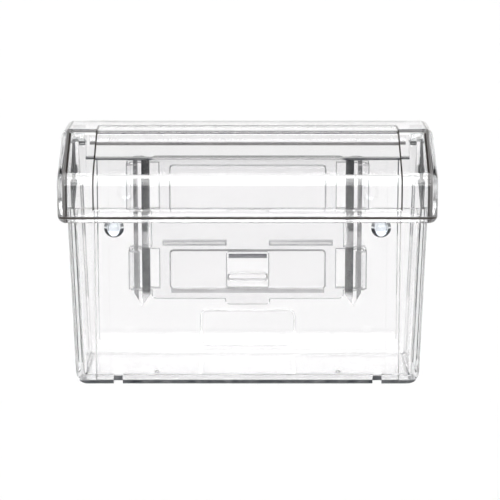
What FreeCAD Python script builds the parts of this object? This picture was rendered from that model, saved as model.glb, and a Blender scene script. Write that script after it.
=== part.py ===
import FreeCAD, Part
import math
import os

import Sketcher
from FreeCAD import Placement, Rotation, Vector

# Clear moulded outdoor business-card box with a hinged hood lid and a slide-on wall plate.
# Millimetres, +Z up, +X to the object's right-hand side, +Y towards the wall behind it.
# Every sub-part is drawn with Y measured from the front face of the box, and its
# Placement then moves the model so that the origin is the centre of the bottom of its bounding box.

DIMENSIONS = [
    # name, millimetres or degrees, meaning
    ("box_half_width", 49.7, "half width of the box at its base"),
    ("box_side_draft", 2.12, "outward lean of each side wall, degrees"),
    ("box_depth", 31.7, "front face to back face"),
    ("box_side_wall", 2.2, "side wall thickness"),
    ("box_front_wall", 2.1, "front wall thickness"),
    ("box_back_wall", 2.2, "back wall thickness"),
    ("box_floor", 2.3, "floor thickness"),
    ("box_front_top", 51.8, "height of the front wall"),
    ("box_back_top", 61.2, "height of the back wall"),
    ("box_slope_start", 3.0, "depth at which the side wall starts to rise"),
    ("box_slope_end", 22.0, "depth at which the side wall meets the hinge post"),
    ("box_shoulder", 51.8, "half width of the upright top of the side walls, inside the lid"),
    ("box_corner_outer", 2.0, "outer radius of the upright edges"),
    ("box_corner_inner", 1.2, "inner radius of the upright edges"),
    ("box_base_radius", 1.4, "outer radius round the base"),
    ("box_foot_radius", 4.2, "radius where each side wall meets the base"),
    ("box_floor_radius", 1.0, "inner radius round the floor"),
    ("front_panel_half", 43.5, "half width of the recessed front panel"),
    ("front_panel_depth", 0.35, "depth of the recessed front panel"),
    ("back_panel_half", 44.7, "half width of the recessed inner back panel"),
    ("back_panel_bottom", 6.4, "lower edge of the inner back panel"),
    ("back_panel_depth", 0.3, "depth of the inner back panel"),
    ("bead_height", 0.7, "height of the bead inside the back wall's top edge"),
    ("bead_proud", 0.7, "how far the bead stands in front of the back wall"),
    ("drain_place", 37.5, "drain notch from the middle"),
    ("drain_width", 2.6, "drain notch width"),
    ("drain_depth", 5.0, "drain notch front to back"),
    ("drain_height", 3.2, "drain notch height in the front wall"),
    ("nub_place", 26.4, "floor nub from the middle"),
    ("nub_depth", 5.5, "floor nub from the front face"),
    ("nub_radius", 0.8, "floor nub radius"),
    ("label_half", 14.4, "half width of the blank label outline"),
    ("label_bottom", 4.0, "lower edge of the label outline"),
    ("label_top", 15.5, "upper edge of the label outline"),
    ("label_line", 0.7, "width of the label outline"),
    ("label_proud", 0.25, "height of the label outline"),
    ("label_radius", 2.2, "corner radius of the label outline"),
    ("label_bevel", 0.2, "bevel of the label outline"),
    ("hinge_depth", 30.0, "hinge axis from the front face"),
    ("hinge_height", 67.0, "hinge axis above the base"),
    ("post_inner", 48.0, "inner face of the hinge post from the middle"),
    ("post_outer", 51.7, "outer face of the hinge boss from the middle"),
    ("post_front", 27.1, "front face of the hinge post"),
    ("post_bottom", 55.0, "lower end of the hinge post"),
    ("boss_radius", 2.9, "hinge boss radius"),
    ("pin_radius", 1.8, "hinge pin radius"),
    ("pin_play", 0.05, "radial running clearance of the lid on the pin"),
    ("pin_inner", 48.2, "inner end of the pin from the middle"),
    ("pin_outer", 53.9, "outer end of the pin from the middle"),
    ("pin_edge", 0.4, "rounding of the pin ends"),
    ("rail_inner", 29.3, "foot of the rail's slanted inner face from the middle"),
    ("rail_crest", 31.9, "top of the rail's slanted inner face from the middle"),
    ("rail_stem_outer", 32.2, "outer face of the rail stem"),
    ("rail_lip_outer", 34.3, "outer edge of the rail lip"),
    ("rail_bevel", 1.3, "bevel along the outer edge of the rail lip"),
    ("rail_foot", 0.4, "height of the upright part of the rail's inner face"),
    ("rail_top", 61.0, "upper end of the rail"),
    ("rail_bottom", 16.5, "lower end of the rail"),
    ("rail_lead", 3.6, "length of the slanted lower end of the rail"),
    ("rail_gap", 1.7, "space between the back wall and the rail lip"),
    ("rail_lip", 1.6, "thickness of the rail lip"),
    ("catch_half", 6.1, "half width of the catch bar"),
    ("catch_bottom", 24.1, "lower edge of the catch bar"),
    ("catch_top", 26.4, "upper edge of the catch bar"),
    ("catch_proud", 2.5, "catch bar height on the back wall"),
    ("catch_radius", 1.1, "corner radius of the catch bar"),
    ("catch_bevel", 0.5, "bevel round the catch bar"),
    ("lid_half_width", 54.0, "half width of the lid"),
    ("lid_cheek_inner", 52.2, "inner face of the lid's cheek from the middle"),
    ("lid_front", -4.4, "front face of the lid"),
    ("lid_back", 35.2, "back face of the lid"),
    ("lid_wall", 2.1, "thickness of the lid's front, slope and top"),
    ("lid_bottom", 48.0, "lower edge of the lid"),
    ("lid_top", 72.5, "top of the lid"),
    ("lid_crest", 15.0, "depth at which the slope meets the top"),
    ("lid_slope", 30.0, "slope of the lid, degrees"),
    ("lid_knee_radius", 4.4, "radius between the front and the slope"),
    ("lid_crest_radius", 2.0, "radius between the slope and the top"),
    ("lid_back_radius", 2.6, "radius between the top and the back"),
    ("lid_cheek_radius", 8.0, "lower back corner of the cheek"),
    ("lid_edge_radius", 2.4, "rounding of the lid's outer edges"),
    ("flange_bottom", 64.4, "lower edge of the lid's back flange"),
    ("flange_half", 47.2, "half width of the lid's back flange, between the hinge posts"),
    ("flange_radius", 0.8, "rounding of the flange's lower edge"),
    ("lid_inner_radius", 1.2, "radius inside the lid, between each cheek and its front and slope"),
    ("lid_panel_half", 43.5, "half width of the recessed lid panel"),
    ("lid_panel_bottom", 52.2, "lower edge of the recessed lid panel"),
    ("lid_panel_back", 23.8, "back edge of the recessed lid panel"),
    ("lid_panel_depth", 0.5, "depth of the recessed lid panel"),
    ("lid_panel_bevel", 0.4, "bevel round the recessed lid panel"),
    ("bumper_place", 38.15, "bumper from the middle"),
    ("bumper_height", 46.2, "bumper centre above the base"),
    ("bumper_radius", 2.85, "bumper base radius"),
    ("bumper_proud", 1.85, "bumper height on the front panel"),
    ("bumper_glue", 0.03, "glue line between the bumper and the front panel"),
    ("plate_front", 35.3, "front face of the wall plate"),
    ("plate_sheet", 1.5, "thickness of the wall plate"),
    ("plate_half", 29.2, "half width of the wall plate's middle"),
    ("plate_bottom", 17.8, "lower edge of the wall plate"),
    ("plate_top", 60.8, "upper edge of the wall plate"),
    ("plate_radius", 1.6, "corner radius of the wall plate"),
    ("plate_bevel", 0.35, "bevel round the plate's edges and openings"),
    ("tab_half", 6.9, "half width of the lower tab"),
    ("tab_bottom", 16.0, "lower edge of the lower tab"),
    ("upper_claw_bottom", 44.9, "lower edge of the upper claws"),
    ("upper_claw_top", 59.9, "upper edge of the upper claws"),
    ("upper_claw_outer", 36.4, "outer edge of the upper claws"),
    ("lower_claw_bottom", 20.4, "lower edge of the lower claws"),
    ("lower_claw_top", 34.2, "upper edge of the lower claws"),
    ("lower_claw_outer", 35.9, "outer edge of the lower claws"),
    ("claw_wall", 1.2, "thickness of the claw's side wall"),
    ("claw_hook", 1.1, "thickness of the claw's hook"),
    ("claw_reach", 2.2, "width of the claw's hook under the rail lip"),
    ("claw_play", 0.3, "space between the claw and the rail lip, front to back"),
    ("claw_frame", 1.0, "frame round the window behind the hook"),
    ("window_inner", 26.8, "inner edge of the window behind the hook"),
    ("recess_half", 23.2, "half width of the tape recesses"),
    ("recess_depth", 0.7, "depth of the tape recesses"),
    ("recess_bevel", 0.5, "bevel round the tape recesses"),
    ("tab_radius", 1.5, "corner radius of the lower tab"),
    ("claw_radius", 0.8, "corner radius of the claw frames"),
    ("upper_recess_top", 57.7, "upper edge of the upper recess"),
    ("upper_recess_bottom", 45.4, "lower edge of the upper recess"),
    ("lower_recess_top", 32.5, "upper edge of the lower recess"),
    ("lower_recess_bottom", 21.2, "lower edge of the lower recess"),
    ("recess_radius", 0.8, "corner radius of the recesses"),
    ("ledge_bottom", 19.7, "lower edge of the stiffening ledge"),
    ("ledge_top", 21.2, "upper edge of the stiffening ledge"),
    ("ledge_proud", 1.2, "height of the wedge-shaped ledge"),
    ("rib_bottom", 34.4, "lower edge of the stiffening rib"),
    ("rib_top", 36.0, "upper edge of the stiffening rib"),
    ("rib_proud", 0.8, "height of the rib"),
    ("rib_half", 25.7, "outer end of the rib from the middle"),
    ("rib_bevel", 0.5, "bevel along the rib"),
    ("rib_gap_half", 6.4, "half width of the gap in the rib"),
    ("finger_half", 5.8, "half width of the latch finger"),
    ("finger_bottom", 21.9, "root of the latch finger"),
    ("finger_top", 31.7, "free end of the latch finger"),
    ("finger_ramp", 1.1, "height of the ramp on the finger's free end"),
    ("finger_front", 34.7, "front face of the latch finger"),
    ("finger_sheet", 1.2, "thickness of the latch finger"),
    ("finger_gap", 0.4, "gap round the sides and root of the finger"),
    ("finger_slot", 0.5, "slot above the finger's free end"),
    ("opening_radius", 0.6, "corner radius of the opening round the finger"),
    ("overlap", 1.0, "how far a cut or a pad runs past the face it starts from"),
    ("reach", 200.0, "longer than any cut has to be"),
]

doc = FreeCAD.newDocument("CardBox")
sheet = doc.addObject("Spreadsheet::Sheet", "Sizes")
for row, (alias, value, meaning) in enumerate(DIMENSIONS, start=1):
    sheet.set(f"A{row}", alias)
    sheet.set(f"B{row}", str(value))
    sheet.set(f"C{row}", meaning)
    sheet.setAlias(f"B{row}", alias)
doc.recompute()

NAMES = sorted((alias for alias, value, meaning in DIMENSIONS), key=len, reverse=True)


def bound(expression):
    """The expression with each dimension's name written as a cell of the sheet."""
    words = []
    word = ""
    for letter in str(expression) + " ":
        if letter.isalnum() or letter == "_" or (letter == "." and word[:1].isdigit()):
            word += letter
            continue
        words.append("Sizes." + word if word in NAMES else word)
        words.append(letter)
        word = ""
    return "".join(words).strip()


def size(expression):
    """The expression's present value."""
    value = sheet.evalExpression(bound(expression))
    return float(getattr(value, "Value", value))


BOX_LEAN = "tan(box_side_draft)"
DEPTH_CENTRE = "(lid_front + plate_front + plate_sheet) / 2"


# ---------------------------------------------------------------- sketches and features

def new_body(name):
    body = doc.addObject("PartDesign::Body", name + "_body")
    body.Label = name
    return body


def origin_plane(body, role):
    return next(item for item in body.Origin.OriginFeatures if item.Role == role)


def place_value(sketch, kind, item, point, expression):
    """Fix one coordinate of a sketch point, bound to the sheet."""
    value = size(expression)
    if abs(value) < 1e-9:
        axis = -2 if kind == "DistanceX" else -1
        sketch.addConstraint(Sketcher.Constraint("PointOnObject", item, point, axis))
        return
    index = sketch.addConstraint(Sketcher.Constraint(kind, -1, 1, item, point, value))
    sketch.setExpression(f"Constraints[{index}]", bound(expression))


def draw_loop(sketch, corners):
    """Closed outline of straight sides; a corner is (x, y) or (x, y, radius), as expressions."""
    places = [Vector(size(corner[0]), size(corner[1]), 0) for corner in corners]
    radii = [size(corner[2]) if len(corner) > 2 else 0.0 for corner in corners]
    count = len(corners)
    arrive = []
    leave = []
    for index in range(count):
        here = places[index]
        back = (places[index - 1] - here).normalize()
        ahead = (places[(index + 1) % count] - here).normalize()
        half_angle = back.getAngle(ahead) / 2
        trim = radii[index] / math.tan(half_angle)
        arrive.append(here + back * trim)
        leave.append(here + ahead * trim)
    sides = []
    for index in range(count):
        side = Part.LineSegment(leave[index], arrive[(index + 1) % count])
        sides.append(sketch.addGeometry(side, False))
    for index, corner in enumerate(corners):
        before = sides[index - 1]
        after = sides[index]
        if not radii[index]:
            sketch.addConstraint(Sketcher.Constraint("Coincident", before, 2, after, 1))
            place_value(sketch, "DistanceX", after, 1, corner[0])
            place_value(sketch, "DistanceY", after, 1, corner[1])
            continue
        here = places[index]
        inward = (arrive[index] + leave[index]) / 2 - here
        centre = here + inward.normalize() * math.hypot(
            radii[index], (arrive[index] - here).Length)
        turns_left = (here - arrive[index]).cross(leave[index] - here).z > 0
        start, stop = (arrive[index], leave[index]) if turns_left else (leave[index], arrive[index])
        circle = Part.Circle(centre, Vector(0, 0, 1), radii[index])
        angles = [math.atan2(end.y - centre.y, end.x - centre.x) for end in (start, stop)]
        arc = sketch.addGeometry(Part.ArcOfCircle(circle, *angles), False)
        first, last = (1, 2) if turns_left else (2, 1)
        sketch.addConstraint(Sketcher.Constraint("Tangent", before, 2, arc, first))
        sketch.addConstraint(Sketcher.Constraint("Tangent", arc, last, after, 1))
        radius = sketch.addConstraint(Sketcher.Constraint("Radius", arc, radii[index]))
        sketch.setExpression(f"Constraints[{radius}]", bound(corner[2]))
        mark = sketch.addGeometry(Part.Point(here), True)
        sketch.addConstraint(Sketcher.Constraint("PointOnObject", mark, 1, before))
        sketch.addConstraint(Sketcher.Constraint("PointOnObject", mark, 1, after))
        place_value(sketch, "DistanceX", mark, 1, corner[0])
        place_value(sketch, "DistanceY", mark, 1, corner[1])


def draw_circle(sketch, across, up, radius):
    centre = Vector(size(across), size(up), 0)
    item = sketch.addGeometry(Part.Circle(centre, Vector(0, 0, 1), size(radius)), False)
    place_value(sketch, "DistanceX", item, 3, across)
    place_value(sketch, "DistanceY", item, 3, up)
    index = sketch.addConstraint(Sketcher.Constraint("Radius", item, size(radius)))
    sketch.setExpression(f"Constraints[{index}]", bound(radius))


def new_sketch(body, name, role, loops=(), circles=(), offset="0"):
    """Sketch on an origin plane; the planes are XY_Plane (x, y), XZ_Plane (x, z), YZ_Plane (y, z)."""
    sketch = body.newObject("Sketcher::SketchObject", name + "_sketch")
    sketch.AttachmentSupport = [(origin_plane(body, role), "")]
    sketch.MapMode = "FlatFace"
    sketch.AttachmentOffset = Placement(Vector(0, 0, size(offset)), Rotation())
    if size(offset):
        sketch.setExpression(".AttachmentOffset.Base.z", bound(offset))
    for loop in loops:
        draw_loop(sketch, loop)
    for circle in circles:
        draw_circle(sketch, *circle)
    return sketch


def finish_feature(body, feature, before, adds):
    """Recompute, and check that the feature really added or removed material."""
    doc.recompute()
    volume = body.Shape.Volume
    if adds and volume <= before:
        raise RuntimeError(f"{feature.Name} added nothing")
    if not adds and volume >= before:
        raise RuntimeError(f"{feature.Name} removed nothing")
    return feature


def sweep(body, kind, name, sketch, length, symmetric):
    before = body.Shape.Volume if body.Tip else 0.0
    feature = body.newObject(kind, name)
    feature.Profile = sketch
    if symmetric:
        feature.SideType = "Symmetric"
    feature.setExpression("Length", bound(length))
    return finish_feature(body, feature, before, kind == "PartDesign::Pad")


def pad_across(body, name, half_width, loops=(), circles=()):
    """Material from -half_width to +half_width along X; outlines are (y, z)."""
    sketch = new_sketch(body, name, "YZ_Plane", loops, circles)
    return sweep(body, "PartDesign::Pad", name, sketch, f"2 * ({half_width})", True)


def cut_across(body, name, half_width, loops=(), circles=()):
    sketch = new_sketch(body, name, "YZ_Plane", loops, circles)
    return sweep(body, "PartDesign::Pocket", name, sketch, f"2 * ({half_width})", True)


def pad_deep(body, name, front, back, loops):
    """Material from front to back along Y; outlines are (x, z)."""
    sketch = new_sketch(body, name, "XZ_Plane", loops, offset=f"-({back})")
    return sweep(body, "PartDesign::Pad", name, sketch, f"({back}) - ({front})", False)


def cut_deep(body, name, front, back, loops):
    sketch = new_sketch(body, name, "XZ_Plane", loops, offset=f"-({front})")
    return sweep(body, "PartDesign::Pocket", name, sketch, f"({back}) - ({front})", False)


def pad_up(body, name, bottom, top, loops):
    """Material from bottom to top along Z; outlines are (x, y)."""
    sketch = new_sketch(body, name, "XY_Plane", loops, offset=bottom)
    return sweep(body, "PartDesign::Pad", name, sketch, f"({top}) - ({bottom})", False)


def cut_down(body, name, bottom, top, loops):
    sketch = new_sketch(body, name, "XY_Plane", loops, offset=top)
    return sweep(body, "PartDesign::Pocket", name, sketch, f"({top}) - ({bottom})", False)


def block(low_x, high_x, low_y, high_y, *radius):
    """Rectangle, with one corner radius if it is given."""
    return [(low_x, low_y, *radius), (high_x, low_y, *radius),
            (high_x, high_y, *radius), (low_x, high_y, *radius)]


def both_sides(corners):
    """The outline, and its mirror image across the middle plane."""
    mirrored = [(f"-({corner[0]})", *corner[1:]) for corner in corners]
    return [corners, mirrored]


def dress_edges(body, kind, name, amount, wanted):
    """Round or bevel every edge of the body for which wanted(edge) is true."""
    base = body.Tip
    chosen = [f"Edge{number}" for number, edge in enumerate(base.Shape.Edges, start=1) if wanted(edge)]
    if not chosen:
        raise RuntimeError(f"{name} found no edge")
    feature = body.newObject(kind, name)
    feature.Base = (base, chosen)
    feature.setExpression("Radius" if kind == "PartDesign::Fillet" else "Size", bound(amount))
    doc.recompute()
    return feature


def round_edges(body, name, radius, wanted):
    return dress_edges(body, "PartDesign::Fillet", name, radius, wanted)


def bevel_edges(body, name, amount, wanted):
    return dress_edges(body, "PartDesign::Chamfer", name, amount, wanted)


def near(value, expression, slack=0.02):
    return abs(value - size(expression)) < slack


def edge_box(edge):
    return edge.BoundBox


def at_depth(edge, depth):
    """True if the whole edge lies in the upright plane at that depth."""
    return near(edge_box(edge).YMin, depth) and near(edge_box(edge).YMax, depth)


def place(body):
    """Move the sub-part so that the model's origin is under the middle of its bounding box."""
    body.Placement = Placement(Vector(0, -size(DEPTH_CENTRE), 0), Rotation())
    body.setExpression(".Placement.Base.y", bound(f"-({DEPTH_CENTRE})"))


# ---------------------------------------------------------------- card box

def make_box():
    body = new_body("card_box")
    outer_top = f"box_half_width + hinge_height * {BOX_LEAN}"
    foot_top = "box_foot_radius * 2"
    foot_edge = f"box_half_width + ({foot_top}) * {BOX_LEAN}"
    inner_base = f"box_half_width - box_side_wall + box_floor * {BOX_LEAN}"
    inner_top = f"box_half_width - box_side_wall + (hinge_height + overlap) * {BOX_LEAN}"
    inner_back = "box_depth - box_back_wall"
    pad_deep(body, "box_outside", "0", "box_depth", [[
        ("-box_half_width", "0"), ("box_half_width", "0"),
        (outer_top, "hinge_height"), (f"-({outer_top})", "hinge_height")]])
    round_edges(body, "box_upright_edges", "box_corner_outer",
                lambda edge: edge_box(edge).ZLength > size("hinge_height") / 2)
    round_edges(body, "box_base_edges", "box_base_radius",
                lambda edge: edge_box(edge).ZMax < size("box_floor") / 2)
    cut_deep(body, "box_foot_corners", "-overlap", "box_depth + overlap", both_sides([
        (foot_edge, foot_top), ("box_half_width", "0", "box_foot_radius"),
        ("box_half_width - box_foot_radius * 2", "0"), ("box_half_width - box_foot_radius * 2", "-overlap"),
        ("box_half_width + box_foot_radius", "-overlap"), ("box_half_width + box_foot_radius", foot_top)]))
    cut_deep(body, "box_inside", "box_front_wall", inner_back, [[
        (f"-({inner_base})", "box_floor"), (inner_base, "box_floor"),
        (inner_top, "hinge_height + overlap"), (f"-({inner_top})", "hinge_height + overlap")]])
    round_edges(body, "box_inner_upright_edges", "box_corner_inner",
                lambda edge: edge_box(edge).ZLength > size("hinge_height") / 2
                and edge_box(edge).ZMin > size("box_floor") / 2
                and near(edge_box(edge).ZMin, "box_floor"))
    round_edges(body, "box_floor_edges", "box_floor_radius",
                lambda edge: near(edge_box(edge).ZMin, "box_floor")
                and near(edge_box(edge).ZMax, "box_floor"))
    cut_across(body, "box_rim", "reach", [[
        ("-box_depth", "box_front_top"), ("box_slope_start", "box_front_top"),
        ("box_slope_end", "box_back_top - overlap"), ("post_front", "hinge_height"),
        ("post_front", "hinge_height * 2"), ("-box_depth", "hinge_height * 2")]])
    cut_across(body, "box_back_opening", "post_inner", [[
        ("box_slope_end", "box_back_top"), ("box_depth * 2", "box_back_top"),
        ("box_depth * 2", "hinge_height * 2"), ("box_slope_end", "hinge_height * 2")]])
    cut_deep(body, "box_shoulders", "-overlap", "box_depth + overlap", both_sides(
        block("box_shoulder", "box_shoulder + 2 * overlap", "box_front_top", "hinge_height + overlap")))
    front_edge = "front_panel_half + front_panel_depth + overlap"
    cut_down(body, "box_front_panel", "-overlap", "hinge_height", [[
        (f"-({front_edge})", "-overlap"), (front_edge, "-overlap"),
        ("front_panel_half", "front_panel_depth"), ("-front_panel_half", "front_panel_depth")]])
    back_edge = "back_panel_half + back_panel_depth"
    cut_down(body, "box_back_panel", "back_panel_bottom", "hinge_height", [[
        (f"-({back_edge})", inner_back), (back_edge, inner_back),
        ("back_panel_half", f"{inner_back} + back_panel_depth"),
        ("-back_panel_half", f"{inner_back} + back_panel_depth")]])
    pad_across(body, "box_rim_bead", "post_inner", [[
        (f"{inner_back} + overlap", "box_back_top - bead_height"), (f"{inner_back} + overlap", "box_back_top"),
        (f"{inner_back} - bead_proud", "box_back_top"), (inner_back, "box_back_top - bead_height")]])
    cut_deep(body, "box_drains", "-overlap", "drain_depth", both_sides(
        block("drain_place - drain_width / 2", "drain_place + drain_width / 2", "-overlap", "drain_height")))
    pad_deep(body, "box_hinge_posts", "post_front", "box_depth", both_sides([
        ("post_inner", "post_bottom"), ("post_outer - overlap", "post_bottom - 2 * overlap"),
        ("post_outer - overlap", "hinge_height"), ("post_inner", "hinge_height")]))
    for side in (-1, 1):
        hand = "left" if side < 0 else "right"
        boss = new_sketch(body, f"boss_{hand}", "YZ_Plane",
                          circles=[("hinge_depth", "hinge_height", "boss_radius")],
                          offset="post_inner" if side > 0 else "-post_outer")
        sweep(body, "PartDesign::Pad", f"box_boss_{hand}", boss, "post_outer - post_inner", False)
    cut_across(body, "box_pin_holes", "reach",
               circles=[("hinge_depth", "hinge_height", "pin_radius")])
    lip_front = "box_depth + rail_gap"
    lip_back = f"{lip_front} + rail_lip"
    pad_up(body, "box_rails", "rail_bottom", "rail_top", both_sides([
        ("rail_inner", "box_depth - overlap"), ("rail_stem_outer", "box_depth - overlap"),
        ("rail_stem_outer", lip_front), ("rail_lip_outer", lip_front),
        ("rail_lip_outer", f"{lip_back} - rail_bevel"), ("rail_lip_outer - rail_bevel", lip_back),
        ("rail_crest", lip_back), ("rail_inner", "box_depth + rail_foot")]))
    cut_deep(body, "box_rail_inner_leads", "box_depth", f"{lip_back} + overlap", both_sides([
        ("rail_inner - overlap", "rail_bottom - overlap"), ("rail_crest", "rail_bottom - overlap"),
        ("rail_crest", "rail_bottom"), ("rail_inner", "rail_bottom + rail_lead"),
        ("rail_inner - overlap", "rail_bottom + rail_lead")]))
    cut_deep(body, "box_rail_outer_leads", "box_depth", f"{lip_back} + overlap", both_sides([
        ("rail_stem_outer", "rail_bottom"), ("rail_lip_outer", "rail_bottom + rail_lead"),
        ("rail_lip_outer + overlap", "rail_bottom + rail_lead"),
        ("rail_lip_outer + overlap", "rail_bottom - overlap"),
        ("rail_stem_outer", "rail_bottom - overlap")]))
    pad_deep(body, "box_catch_bar", "box_depth - overlap", "box_depth + catch_proud", [
        block("-catch_half", "catch_half", "catch_bottom", "catch_top", "catch_radius")])
    bevel_edges(body, "box_catch_edges", "catch_bevel",
                lambda edge: at_depth(edge, "box_depth + catch_proud"))
    pad_deep(body, "box_label_outline", "box_depth - overlap", "box_depth + label_proud", [
        block("-label_half", "label_half", "label_bottom", "label_top", "label_radius"),
        block("-(label_half - label_line)", "label_half - label_line",
              "label_bottom + label_line", "label_top - label_line", "label_radius - label_line")])
    bevel_edges(body, "box_label_edges", "label_bevel",
                lambda edge: at_depth(edge, "box_depth + label_proud"))
    for side in (-1, 1):
        before = body.Shape.Volume
        nub = body.newObject("PartDesign::AdditiveSphere", "box_nub_left" if side < 0 else "box_nub_right")
        nub.setExpression("Radius", bound("nub_radius"))
        nub.Placement = Placement(Vector(side * size("nub_place"), size("nub_depth"), size("box_floor")),
                                  Rotation())
        nub.setExpression(".Placement.Base.x", bound(f"{side} * nub_place"))
        nub.setExpression(".Placement.Base.y", bound("nub_depth"))
        nub.setExpression(".Placement.Base.z", bound("box_floor"))
        finish_feature(body, nub, before, True)
    place(body)
    return body


# ---------------------------------------------------------------- lid

def lid_corners(inset):
    """Knee and crest of the lid's roof line, drawn a distance inside the outer one."""
    knee = ("lid_top - (lid_crest - lid_front) * tan(lid_slope)"
            f" - ({inset}) * (1 - sin(lid_slope)) / cos(lid_slope)")
    crest = f"lid_crest + ({inset}) * tan(lid_slope / 2)"
    return knee, crest


def make_lid():
    body = new_body("lid")
    knee, crest = lid_corners("0")
    pad_across(body, "lid_outside", "lid_half_width", [[
        ("lid_front", "lid_bottom"), ("lid_front", knee, "lid_knee_radius"),
        (crest, "lid_top", "lid_crest_radius"), ("lid_back", "lid_top", "lid_back_radius"),
        ("lid_back", "lid_bottom", "lid_cheek_radius")]])

    def outer_edge(edge):
        box = edge_box(edge)
        cheek = near(abs(box.XMin), "lid_half_width") and near(abs(box.XMax), "lid_half_width")
        front_rim = near(box.ZMax, "lid_bottom") and near(box.YMax, "lid_front")
        return (cheek and box.XLength < size("lid_half_width")) or front_rim

    round_edges(body, "lid_outer_edges", "lid_edge_radius", outer_edge)
    knee, crest = lid_corners("lid_wall")
    cut_across(body, "lid_inside", "lid_cheek_inner", [[
        ("lid_front + lid_wall", "0"), ("lid_front + lid_wall", knee, "lid_knee_radius - lid_wall"),
        (crest, "lid_top - lid_wall"), ("lid_back - lid_wall", "lid_top - lid_wall"),
        ("lid_back - lid_wall", "flange_bottom"), ("lid_back * 2", "flange_bottom"),
        ("lid_back * 2", "0")]])
    round_edges(body, "lid_inner_edges", "lid_inner_radius",
                lambda edge: near(abs(edge_box(edge).XMin), "lid_cheek_inner")
                and near(abs(edge_box(edge).XMax), "lid_cheek_inner")
                and edge_box(edge).XLength < size("overlap")
                and at_depth(edge, "lid_front + lid_wall"))
    round_edges(body, "lid_flange_edge", "flange_radius",
                lambda edge: near(edge_box(edge).ZMax, "flange_bottom")
                and near(edge_box(edge).ZMin, "flange_bottom")
                and near(edge_box(edge).YMin, "lid_back")
                and edge_box(edge).XLength > size("lid_half_width"))
    cut_deep(body, "lid_post_room", "lid_back - lid_wall", "lid_back + overlap", both_sides(
        block("flange_half", "lid_cheek_inner", "lid_bottom", "lid_top - lid_wall")))
    knee, crest = lid_corners("lid_panel_depth")
    cut_across(body, "lid_panel", "lid_panel_half", [[
        ("lid_front * 2", "lid_panel_bottom"), ("lid_front + lid_panel_depth", "lid_panel_bottom"),
        ("lid_front + lid_panel_depth", knee, "lid_knee_radius - lid_panel_depth"),
        (crest, "lid_top - lid_panel_depth", "lid_crest_radius - lid_panel_depth"),
        ("lid_panel_back", "lid_top - lid_panel_depth"), ("lid_panel_back", "lid_top * 2"),
        ("lid_front * 2", "lid_top * 2")]])

    def panel_edge(edge):
        box = edge_box(edge)
        on_front = at_depth(edge, "lid_front") and near(box.ZMin, "lid_panel_bottom")
        along_back = near(box.ZMin, "lid_top") and at_depth(edge, "lid_panel_back")
        return on_front or along_back

    bevel_edges(body, "lid_panel_edges", "lid_panel_bevel", panel_edge)
    cut_across(body, "lid_pin_holes", "reach",
               circles=[("hinge_depth", "hinge_height", "pin_radius + pin_play")])
    place(body)
    return body


# ---------------------------------------------------------------- hinge pins and bumpers

def revolve_piece(name, loop, axis_role):
    """A body turned about one of its own origin axes, from a half outline on the XZ plane."""
    body = new_body(name)
    sketch = new_sketch(body, name, "XZ_Plane", [loop])
    axis = next(item for item in body.Origin.OriginFeatures if item.Role == axis_role)
    turned = body.newObject("PartDesign::Revolution", name + "_turned")
    turned.Profile = sketch
    turned.ReferenceAxis = (axis, [""])
    turned.Angle = 360
    finish_feature(body, turned, 0.0, True)
    return body


def make_pin(side):
    name = "hinge_pin_left" if side < 0 else "hinge_pin_right"
    near_end, far_end = sorted((side * size("pin_inner"), side * size("pin_outer")))
    low = "pin_inner" if side > 0 else "-pin_outer"
    high = "pin_outer" if side > 0 else "-pin_inner"
    body = revolve_piece(name, [
        (low, "0"), (low, "pin_radius", "pin_edge"), (high, "pin_radius", "pin_edge"), (high, "0")], "X_Axis")
    if not (near(body.Shape.BoundBox.XMin, near_end) and near(body.Shape.BoundBox.XMax, far_end)):
        raise RuntimeError(f"{name} is out of place")
    body.Placement = Placement(Vector(0, size("hinge_depth") - size(DEPTH_CENTRE), size("hinge_height")),
                               Rotation())
    body.setExpression(".Placement.Base.y", bound(f"hinge_depth - {DEPTH_CENTRE}"))
    body.setExpression(".Placement.Base.z", bound("hinge_height"))
    return body


def make_bumper(side):
    """Low domed bumper: a slice of a ball, flat side on the front panel."""
    name = "bumper_left" if side < 0 else "bumper_right"
    ball = doc.addObject("Part::Sphere", name + "_ball")
    radius = "(bumper_radius ^ 2 + bumper_proud ^ 2) / (2 * bumper_proud)"
    ball.setExpression("Radius", bound(radius))
    slab = doc.addObject("Part::Box", name + "_slab")
    for edge in ("Length", "Width"):
        slab.setExpression(edge, bound("4 * bumper_radius"))
    slab.setExpression("Height", bound("2 * bumper_proud"))
    slab.setExpression(".Placement.Base.x", bound("-2 * bumper_radius"))
    slab.setExpression(".Placement.Base.y", bound("-2 * bumper_radius"))
    slab.setExpression(".Placement.Base.z", bound(f"{radius} - bumper_proud"))
    dome = doc.addObject("Part::Common", name)
    dome.Base = ball
    dome.Tool = slab
    dome.Label = name
    doc.recompute()
    facing_front = Rotation(Vector(1, 0, 0), 90)
    base_depth = f"front_panel_depth - bumper_glue + {radius} - bumper_proud - {DEPTH_CENTRE}"
    dome.Placement = Placement(Vector(side * size("bumper_place"), size(base_depth), size("bumper_height")),
                               facing_front)
    dome.setExpression(".Placement.Base.x", bound(f"{side} * bumper_place"))
    dome.setExpression(".Placement.Base.y", bound(base_depth))
    dome.setExpression(".Placement.Base.z", bound("bumper_height"))
    return dome


# ---------------------------------------------------------------- wall plate and latch finger

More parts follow.
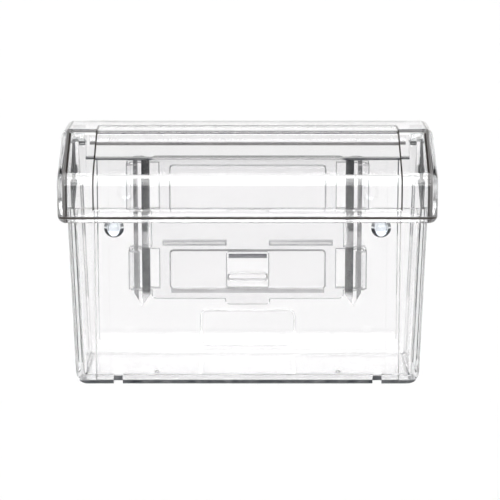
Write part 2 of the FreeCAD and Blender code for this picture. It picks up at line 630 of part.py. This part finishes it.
def make_plate():
    body = new_body("mounting_plate")
    plate_back = "plate_front + plate_sheet"
    hook_back = "box_depth + rail_gap - claw_play"
    hook_front = f"{hook_back} - claw_hook"
    pad_deep(body, "plate_sheet_pad", "plate_front", plate_back, [
        block("-plate_half", "plate_half", "plate_bottom", "plate_top", "plate_radius")])
    pad_deep(body, "plate_tab", "plate_front", plate_back, [
        block("-tab_half", "tab_half", "tab_bottom", "plate_bottom + 2 * overlap", "tab_radius")])
    for level in ("upper", "lower"):
        bottom = f"{level}_claw_bottom"
        top = f"{level}_claw_top"
        outer = f"{level}_claw_outer"
        window = block("window_inner", f"{outer} - claw_wall", f"{bottom} + claw_frame", f"{top} - claw_frame")
        pad_deep(body, f"plate_{level}_claw_frames", "plate_front", plate_back, both_sides(
            block("plate_half - 2 * overlap", outer, bottom, top, "claw_radius")))
        cut_deep(body, f"plate_{level}_windows", "plate_front - overlap", f"{plate_back} + overlap",
                 both_sides(window))
        cut_deep(body, f"plate_{level}_recess", f"{plate_back} - recess_depth", f"{plate_back} + overlap", [
            block("-recess_half", "recess_half", f"{level}_recess_bottom", f"{level}_recess_top",
                  "recess_radius")])
    cut_deep(body, "plate_finger_opening", "box_depth", f"{plate_back} + overlap", [
        block("-(finger_half + finger_gap)", "finger_half + finger_gap",
              "finger_bottom - finger_gap", "finger_top + finger_slot", "opening_radius")])
    bevel_edges(body, "plate_front_edges", "plate_bevel", lambda edge: at_depth(edge, "plate_front"))
    bevel_edges(body, "plate_recess_edges", "recess_bevel",
                lambda edge: at_depth(edge, plate_back)
                and near(max(abs(edge_box(edge).XMin), abs(edge_box(edge).XMax)), "recess_half")
                and edge_box(edge).XLength < size("overlap") / 2)
    for level in ("upper", "lower"):
        bottom = f"{level}_claw_bottom"
        top = f"{level}_claw_top"
        outer = f"{level}_claw_outer"
        wall_inner = f"{outer} - claw_wall"
        pad_deep(body, f"plate_{level}_claw_walls", hook_front, plate_back, both_sides(
            block(wall_inner, outer, f"{bottom} + overlap", f"{top} - overlap")))
        pad_deep(body, f"plate_{level}_claw_hooks", hook_front, hook_back, both_sides(
            block(f"{wall_inner} - claw_reach", f"{wall_inner} + claw_wall / 2",
                  f"{bottom} + claw_frame", f"{top} - claw_frame")))
    bevel_edges(body, "plate_claw_edges", "plate_bevel", lambda edge: at_depth(edge, hook_front))
    pad_across(body, "plate_ledge", "recess_half", [[
        ("plate_front + plate_bevel", "ledge_bottom"), ("plate_front + plate_bevel", "ledge_top"),
        ("plate_front - ledge_proud", "ledge_top"), ("plate_front", "ledge_bottom")]])
    pad_deep(body, "plate_ribs", "plate_front - rib_proud", "plate_front + plate_bevel", both_sides(
        block("rib_gap_half", "rib_half", "rib_bottom", "rib_top")))
    bevel_edges(body, "plate_rib_edges", "rib_bevel",
                lambda edge: at_depth(edge, "plate_front - rib_proud"))
    place(body)
    return body


def make_finger():
    """Springy leaf with a ramp on its free end, which rides over the catch bar."""
    body = new_body("latch_finger")
    finger_back = "finger_front + finger_sheet"
    pad_across(body, "finger_leaf", "finger_half", [[
        ("finger_front", "finger_bottom"), (finger_back, "finger_bottom"), (finger_back, "finger_top"),
        ("finger_front", "finger_top - finger_ramp")]])
    place(body)
    return body


# ---------------------------------------------------------------- build, check and write

pieces = [make_box(), make_lid(), make_plate(), make_finger()]
for hand in (-1, 1):
    pieces.append(make_pin(hand))
    pieces.append(make_bumper(hand))
doc.recompute()

for item in doc.Objects:
    if "Invalid" in item.State or "Error" in item.State:
        raise RuntimeError(f"{item.Name}: {item.State}")
for piece in pieces:
    if piece.Shape.isNull() or not piece.Shape.isValid():
        raise RuntimeError(f"{piece.Label}: bad shape")
    if len(piece.Shape.Solids) != 1:
        raise RuntimeError(f"{piece.Label}: {len(piece.Shape.Solids)} solids")

os.makedirs("parts", exist_ok=True)
for piece in pieces:
    piece.Shape.exportStep(os.path.join("parts", piece.Label + ".step"))
    box = piece.Shape.BoundBox
    print(f"{piece.Label}: volume {piece.Shape.Volume:.1f}"
          f" x {box.XMin:.2f}..{box.XMax:.2f} y {box.YMin:.2f}..{box.YMax:.2f}"
          f" z {box.ZMin:.2f}..{box.ZMax:.2f}")
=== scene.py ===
import math

import bpy
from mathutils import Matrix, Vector


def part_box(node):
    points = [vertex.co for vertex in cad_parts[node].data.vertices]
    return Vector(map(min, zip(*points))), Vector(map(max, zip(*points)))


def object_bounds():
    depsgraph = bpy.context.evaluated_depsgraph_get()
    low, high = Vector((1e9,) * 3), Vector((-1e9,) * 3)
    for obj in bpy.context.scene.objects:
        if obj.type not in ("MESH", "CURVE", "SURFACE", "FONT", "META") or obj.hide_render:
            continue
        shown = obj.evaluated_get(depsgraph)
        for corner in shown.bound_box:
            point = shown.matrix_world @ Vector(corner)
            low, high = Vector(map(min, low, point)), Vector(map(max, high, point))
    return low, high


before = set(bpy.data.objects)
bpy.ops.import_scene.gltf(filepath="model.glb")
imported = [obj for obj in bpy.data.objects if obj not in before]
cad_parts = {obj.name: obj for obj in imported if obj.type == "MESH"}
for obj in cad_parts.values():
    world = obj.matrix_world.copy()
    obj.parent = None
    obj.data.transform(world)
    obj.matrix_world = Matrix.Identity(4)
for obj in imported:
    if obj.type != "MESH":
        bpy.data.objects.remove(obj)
cad_low, cad_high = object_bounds()

MM = 0.001


# ---------------------------------------------------------------- camera
def make_camera():
    box_low, box_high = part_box("card_box")
    camera = bpy.data.objects.new("camera", bpy.data.cameras.new("camera"))
    bpy.context.scene.collection.objects.link(camera)
    camera.data.sensor_width = 36.0
    camera.data.lens = 154.0
    camera.data.clip_start = 0.01
    camera.data.clip_end = 20.0
    camera.location = (0.7 * MM, box_low.y - 600 * MM, 160 * MM)
    pitch_down = math.radians(11.33)
    camera.rotation_euler = (math.pi / 2 - pitch_down, 0.0, 0.0)
    bpy.context.scene.camera = camera


# ---------------------------------------------------------------- node helpers
def new_material(name):
    material = bpy.data.materials.new(name)
    material.use_nodes = True
    material.node_tree.nodes.clear()
    return material, material.node_tree.nodes, material.node_tree.links


def colour_ramp(nodes, stops):
    """Colour ramp from (position, grey or colour) stops."""
    node = nodes.new("ShaderNodeValToRGB")
    elements = node.color_ramp.elements
    while len(elements) < len(stops):
        elements.new(0.5)
    for element, (position, colour) in zip(elements, stops):
        element.position = position
        element.color = (*colour, 1) if isinstance(colour, tuple) else (colour, colour, colour, 1)
    return node


def noise(nodes, links, place, scale, detail):
    node = nodes.new("ShaderNodeTexNoise")
    node.inputs["Scale"].default_value = scale
    node.inputs["Detail"].default_value = detail
    links.new(place.outputs["Object"], node.inputs["Vector"])
    return node


# ---------------------------------------------------------------- stage and light
def make_floor():
    half = 3.0
    mesh = bpy.data.meshes.new("studio_floor")
    mesh.from_pydata([(-half, -half, 0), (half, -half, 0), (half, half, 0), (-half, half, 0)], [],
                     [(0, 1, 2, 3)])
    floor = bpy.data.objects.new("studio_floor", mesh)
    floor.location = (0, 0, cad_low.z - 0.02 * MM)
    bpy.context.scene.collection.objects.link(floor)
    material, nodes, links = new_material("studio_white")
    shader = nodes.new("ShaderNodeBsdfDiffuse")
    shader.inputs["Color"].default_value = (0.9, 0.9, 0.9, 1)
    output = nodes.new("ShaderNodeOutputMaterial")
    links.new(shader.outputs[0], output.inputs["Surface"])
    mesh.materials.append(material)


def make_world():
    """White walls up to a little above eye level, and a dark ceiling, which draws clear plastic's edges."""
    world = bpy.data.worlds.new("studio")
    world.use_nodes = True
    nodes, links = world.node_tree.nodes, world.node_tree.links
    nodes.clear()
    place = nodes.new("ShaderNodeTexCoord")
    parts = nodes.new("ShaderNodeSeparateXYZ")
    links.new(place.outputs["Generated"], parts.inputs[0])
    ramp = colour_ramp(nodes, [(0.0, 1.0), (0.22, 1.0), (0.34, 0.14), (1.0, 0.06)])
    links.new(parts.outputs["Z"], ramp.inputs["Fac"])
    room = nodes.new("ShaderNodeBackground")
    links.new(ramp.outputs["Color"], room.inputs["Color"])
    output = nodes.new("ShaderNodeOutputWorld")
    links.new(room.outputs[0], output.inputs["Surface"])
    bpy.context.scene.world = world


def floor_light(name, strength):
    """Even light for the pale floor, left out of the plastic's reflections."""
    light = bpy.data.lights.new(name, "SUN")
    light.energy = strength
    light.angle = math.radians(40)
    item = bpy.data.objects.new(name, light)
    item.visible_glossy = False
    item.visible_transmission = False
    bpy.context.scene.collection.objects.link(item)
    return item


def softbox(name, place, target, wide, high, power):
    """Large soft light that shows only as a reflection."""
    light = bpy.data.lights.new(name, "AREA")
    light.shape = "RECTANGLE"
    light.size, light.size_y = wide, high
    light.energy = power
    item = bpy.data.objects.new(name, light)
    item.location = place
    item.rotation_euler = (Vector(target) - Vector(place)).to_track_quat("-Z", "Y").to_euler()
    item.visible_camera = False
    item.visible_diffuse = False
    bpy.context.scene.collection.objects.link(item)
    return item


# ---------------------------------------------------------------- clear plastic
# Bevels and rounded edges of clear plastic look dark, because they show the dark ceiling and each other; that
# shade is also painted on them, as a dark colour and less transmission.
# The masks below are 1 where this painted shade goes; each is built from the surface's own direction and
# place.
BEVEL_STOPS = [(0.54, 0.0), (0.64, 1.0), (0.78, 1.0), (0.86, 0.0)]
CHEEK_STOPS = [(0.06, 0.0), (0.14, 1.0), (0.90, 1.0), (0.96, 0.0)]
FOOT_STOPS = [(0.93, 1.0), (0.97, 0.0)]
RIM_STOPS = [(0.08, 0.0), (0.14, 1.0), (0.36, 1.0), (0.46, 0.0)]
PLACE_RANGE = 0.08  # metres: the ramps that run over a place cover 0 to this
CLEAR_TINT = (0.972, 0.968, 0.972)
# Colour of the painted shade on the latch finger and the bumpers.
NAVY_PAINTED_SHADE = (0.006, 0.010, 0.022)
# Painted shade on the rails' inner and outer faces at heights in mm: strong where the claws hold them.
RAIL_INNER_MM = [(19.0, 0.1), (20.5, 1.0), (34.0, 1.0), (35.0, 0.08), (44.5, 0.08), (45.5, 1.0)]
RAIL_OUTER_MM = [(19.0, 0.2), (21.0, 0.6), (38.0, 0.5), (39.0, 1.0)]
CORNER_MM = [(49.0, 0.35), (51.0, 0.06)]
# The clear, bright middle of a bumper's dome, in shares of its radius, and where its painted dark crescent of
# shade lies.
DOME_LIGHT_WIDE = 0.68
DOME_LIGHT_RISE = 0.3
DOME_LIGHT_TALL = 1.16
DOME_RISE_STOPS = [(0.0, 1.0), (0.46, 1.0), (0.50, 0.0), (0.56, 0.0), (0.60, 0.8), (0.70, 0.8), (0.74, 0.0)]


def maths(nodes, links, operation, *terms):
    node = nodes.new("ShaderNodeMath")
    node.operation = operation
    for socket, term in zip(node.inputs, terms):
        if isinstance(term, (int, float)):
            socket.default_value = term
        else:
            links.new(term, socket)
    return node.outputs[0]


def ramp_of(nodes, links, source, stops):
    ramp = colour_ramp(nodes, stops)
    links.new(source, ramp.inputs["Fac"])
    return ramp.outputs["Color"]


def place_ramp(nodes, links, source, stops_mm):
    """Ramp over a coordinate, with its stops in millimetres."""
    share = maths(nodes, links, "DIVIDE", source, PLACE_RANGE)
    return ramp_of(nodes, links, share, [(stop * MM / PLACE_RANGE, value) for stop, value in stops_mm])


def directions(nodes, links, place):
    """Sideways and upright parts of the surface direction, and the place across, in depth and up."""
    facing = nodes.new("ShaderNodeSeparateXYZ")
    links.new(place.outputs["Normal"], facing.inputs[0])
    spot = nodes.new("ShaderNodeSeparateXYZ")
    links.new(place.outputs["Object"], spot.inputs[0])
    across = maths(nodes, links, "ABSOLUTE", facing.outputs["X"])
    spread = maths(nodes, links, "ABSOLUTE", spot.outputs["X"])
    return across, facing.outputs["Z"], spread, spot.outputs["Y"], spot.outputs["Z"]


# Painted shade on bevels: surfaces turned part way to the side, up or down.
def bevel_mask(nodes, links, place):
    across, up, spread, depth, level = directions(nodes, links, place)
    upright = maths(nodes, links, "ABSOLUTE", up)
    return maths(nodes, links, "MAXIMUM", ramp_of(nodes, links, across, BEVEL_STOPS),
                 ramp_of(nodes, links, upright, BEVEL_STOPS))


def box_mask(nodes, links, place):
    """Painted shade on the bevels, faint on the upright corners and strong on the rails, where it varies with
    the height, and low along the front.
    """
    across, up, spread, depth, level = directions(nodes, links, place)
    inner = maths(nodes, links, "MULTIPLY", place_ramp(nodes, links, level, RAIL_INNER_MM),
                  place_ramp(nodes, links, spread, [(28.0, 0.4), (28.5, 1.0)]))
    outer = place_ramp(nodes, links, level, RAIL_OUTER_MM)
    rails = nodes.new("ShaderNodeMix")
    rails.data_type = "FLOAT"
    links.new(place_ramp(nodes, links, spread, [(31.9, 0.0), (32.1, 1.0)]), rails.inputs["Factor"])
    links.new(inner, rails.inputs["A"])
    links.new(outer, rails.inputs["B"])
    behind = place_ramp(nodes, links, depth, [(12.0, 0.0), (12.2, 1.0)])
    share = nodes.new("ShaderNodeMix")
    share.data_type = "FLOAT"
    links.new(behind, share.inputs["Factor"])
    links.new(place_ramp(nodes, links, level, CORNER_MM), share.inputs["A"])
    links.new(rails.outputs["Result"], share.inputs["B"])
    bevels = maths(nodes, links, "MULTIPLY", bevel_mask(nodes, links, place), share.outputs["Result"])
    forward = maths(nodes, links, "MULTIPLY", depth, -1.0)
    low = maths(nodes, links, "MULTIPLY", place_ramp(nodes, links, forward, [(2.0, 0.0), (3.0, 1.0)]),
                place_ramp(nodes, links, level, [(1.25, 1.0), (1.45, 0.0)]))
    foot = maths(nodes, links, "MULTIPLY", low,
                 ramp_of(nodes, links, maths(nodes, links, "ABSOLUTE", up), FOOT_STOPS))
    return maths(nodes, links, "MAXIMUM", bevels, foot)


def plate_mask(nodes, links, place):
    """Painted shade on the bevels, and a painted grey shade on the two ribs."""
    across, up, spread, depth, level = directions(nodes, links, place)
    rib_shade = place_ramp(nodes, links, level, [(34.3, 0.0), (34.4, 0.22), (36.0, 0.22), (36.1, 0.0)])
    length = place_ramp(nodes, links, spread, [(6.3, 0.0), (6.4, 1.0), (25.7, 1.0), (25.8, 0.0)])
    return maths(nodes, links, "MAXIMUM", bevel_mask(nodes, links, place),
                 maths(nodes, links, "MULTIPLY", rib_shade, length))


def lid_mask(nodes, links, place):
    """Painted shade on the rounded inside of each cheek, the panel's bevel, the lower rim and the flange's
    lower edge.
    """
    across, up, spread, depth, height = directions(nodes, links, place)
    inside = place_ramp(nodes, links, spread, [(50.7, 0.0), (50.9, 1.0), (52.1, 1.0), (52.4, 0.0)])
    cheek = maths(nodes, links, "MULTIPLY", inside, ramp_of(nodes, links, across, CHEEK_STOPS))
    middle = place_ramp(nodes, links, spread, [(44.6, 1.0), (45.0, 0.0)])
    panel = maths(nodes, links, "MULTIPLY", middle, ramp_of(nodes, links, across, BEVEL_STOPS))
    down = maths(nodes, links, "MULTIPLY", up, -1.0)
    rim = ramp_of(nodes, links, down, RIM_STOPS)
    behind = maths(nodes, links, "MULTIPLY", place_ramp(nodes, links, depth, [(16.0, 0.0), (16.6, 1.0)]),
                   place_ramp(nodes, links, spread, [(47.0, 1.0), (47.4, 0.0)]))
    flange = maths(nodes, links, "MULTIPLY", behind,
                   place_ramp(nodes, links, height, [(65.0, 0.7), (65.3, 0.0)]))
    mask = cheek
    for other in (panel, rim, flange):
        mask = maths(nodes, links, "MAXIMUM", mask, other)
    return mask


def dome_mask(nodes, links, place):
    """Painted shade: a dark crescent round the lower half of each dome, and a short dark arc above each of its
    ends.
    """
    low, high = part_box("bumper_right")
    across, up, spread, depth, level = directions(nodes, links, place)
    radius = (high.x - low.x) / 2
    side = maths(nodes, links, "DIVIDE", maths(nodes, links, "SUBTRACT", spread, (low.x + high.x) / 2), radius)
    rise = maths(nodes, links, "DIVIDE", maths(nodes, links, "SUBTRACT", level, (low.z + high.z) / 2), radius)
    wide = maths(nodes, links, "POWER", maths(nodes, links, "DIVIDE", side, DOME_LIGHT_WIDE), 2.0)
    lifted = maths(nodes, links, "SUBTRACT", rise, DOME_LIGHT_RISE)
    tall = maths(nodes, links, "POWER", maths(nodes, links, "DIVIDE", lifted, DOME_LIGHT_TALL), 2.0)
    ring = maths(nodes, links, "SUBTRACT", maths(nodes, links, "ADD", wide, tall), 0.5)
    crescent = ramp_of(nodes, links, ring, [(0.40, 0.0), (0.62, 1.0)])
    half_rise = maths(nodes, links, "MULTIPLY_ADD", rise, 0.5, 0.5)
    return maths(nodes, links, "MULTIPLY", crescent, ramp_of(nodes, links, half_rise, DOME_RISE_STOPS))


def clear_plastic(name, make_mask, darkness, absorb, density=4.0, index=1.53, roughness=0.011,
                  edge=(0.015, 0.018, 0.022), body=(1.0, 1.0, 1.0)):
    """Moulded clear plastic: faint flow waves, fine polish variation, tinted body, and darker edges that are
    painted shade where make_mask marks them, uneven in streaks.
    """
    material, nodes, links = new_material(name)
    place = nodes.new("ShaderNodeTexCoord")
    waves = noise(nodes, links, place, 55.0, 1.0)
    bump = nodes.new("ShaderNodeBump")
    bump.inputs["Strength"].default_value = 0.02
    bump.inputs["Distance"].default_value = 0.0004
    links.new(waves.outputs["Fac"], bump.inputs["Height"])
    fine = noise(nodes, links, place, 900.0, 3.0)
    polish = nodes.new("ShaderNodeMapRange")
    polish.inputs["From Min"].default_value = 0.3
    polish.inputs["From Max"].default_value = 0.7
    polish.inputs["To Min"].default_value = roughness * 0.6
    polish.inputs["To Max"].default_value = roughness * 1.5
    links.new(fine.outputs["Fac"], polish.inputs["Value"])

    shade_streaks = noise(nodes, links, place, 320.0, 2.0)
    uneven_shade = nodes.new("ShaderNodeMapRange")
    uneven_shade.inputs["From Min"].default_value = 0.3
    uneven_shade.inputs["From Max"].default_value = 0.7
    uneven_shade.inputs["To Min"].default_value = darkness * 0.85
    uneven_shade.inputs["To Max"].default_value = min(1.0, darkness * 1.15)
    links.new(shade_streaks.outputs["Fac"], uneven_shade.inputs["Value"])
    # Painted shade: where the mask is 1 the colour turns to the dark edge colour and transmission drops,
    # unevenly along the noise.
    painted_shade = maths(nodes, links, "MULTIPLY", make_mask(nodes, links, place), uneven_shade.outputs["Result"])
    see_through = maths(nodes, links, "SUBTRACT", 1.0, painted_shade)
    tint_and_painted_shade = nodes.new("ShaderNodeMix")
    tint_and_painted_shade.data_type = "RGBA"
    tint_and_painted_shade.inputs["A"].default_value = (*body, 1.0)
    tint_and_painted_shade.inputs["B"].default_value = (*edge, 1.0)
    links.new(painted_shade, tint_and_painted_shade.inputs["Factor"])

    shader = nodes.new("ShaderNodeBsdfPrincipled")
    links.new(tint_and_painted_shade.outputs["Result"], shader.inputs["Base Color"])
    links.new(see_through, shader.inputs["Transmission Weight"])
    shader.inputs["IOR"].default_value = index
    links.new(polish.outputs["Result"], shader.inputs["Roughness"])
    links.new(bump.outputs["Normal"], shader.inputs["Normal"])
    volume = nodes.new("ShaderNodeVolumeAbsorption")
    volume.inputs["Color"].default_value = (*absorb, 1)
    volume.inputs["Density"].default_value = density
    output = nodes.new("ShaderNodeOutputMaterial")
    links.new(shader.outputs[0], output.inputs["Surface"])
    links.new(volume.outputs[0], output.inputs["Volume"])
    return material


def paint(nodes_named, material):
    for node in nodes_named:
        cad_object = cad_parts[node]
        cad_object.data.materials.clear()
        cad_object.data.materials.append(material)
        cad_object.visible_shadow = False
        cad_object.visible_diffuse = False


make_camera()
make_floor()
make_world()
centre = (cad_low + cad_high) / 2
floor_light("overhead_fill", 3.0)
softbox("key_softbox", centre + Vector((0, -0.55, 0.71)), centre, 1.2, 2.0, 38.0)

# Each edge colour below is the colour of that part's painted shade.
paint(["card_box"], clear_plastic("clear_box", box_mask, 1.05, (0.0, 0.05, 0.06),
                                  edge=(0.012, 0.018, 0.026), body=CLEAR_TINT))
paint(["lid"], clear_plastic("clear_lid", lid_mask, 1.15, (0.0, 0.05, 0.07),
                             edge=(0.034, 0.026, 0.021), body=CLEAR_TINT))
paint(["mounting_plate"], clear_plastic("clear_plate", plate_mask, 0.6, (0.0, 0.06, 0.08), density=30.0,
                                        body=CLEAR_TINT))
paint(["latch_finger"], clear_plastic("clear_finger", bevel_mask, 1.2, (0.0, 0.06, 0.08), edge=NAVY_PAINTED_SHADE))
paint(["hinge_pin_left", "hinge_pin_right"],
      clear_plastic("clear_pin", bevel_mask, 0.8, (0.0, 0.12, 0.08), density=60.0))
paint(["bumper_left", "bumper_right"],
      clear_plastic("clear_bumper", dome_mask, 1.2, (0.0, 0.35, 0.7), density=90.0, index=1.45, edge=NAVY_PAINTED_SHADE))

scene = bpy.context.scene
scene.view_settings.view_transform = "Standard"
scene.cycles.max_bounces = 24
scene.cycles.transmission_bounces = 24
scene.cycles.glossy_bounces = 12
scene.cycles.volume_bounces = 0
scene.cycles.caustics_refractive = False
scene.cycles.caustics_reflective = False
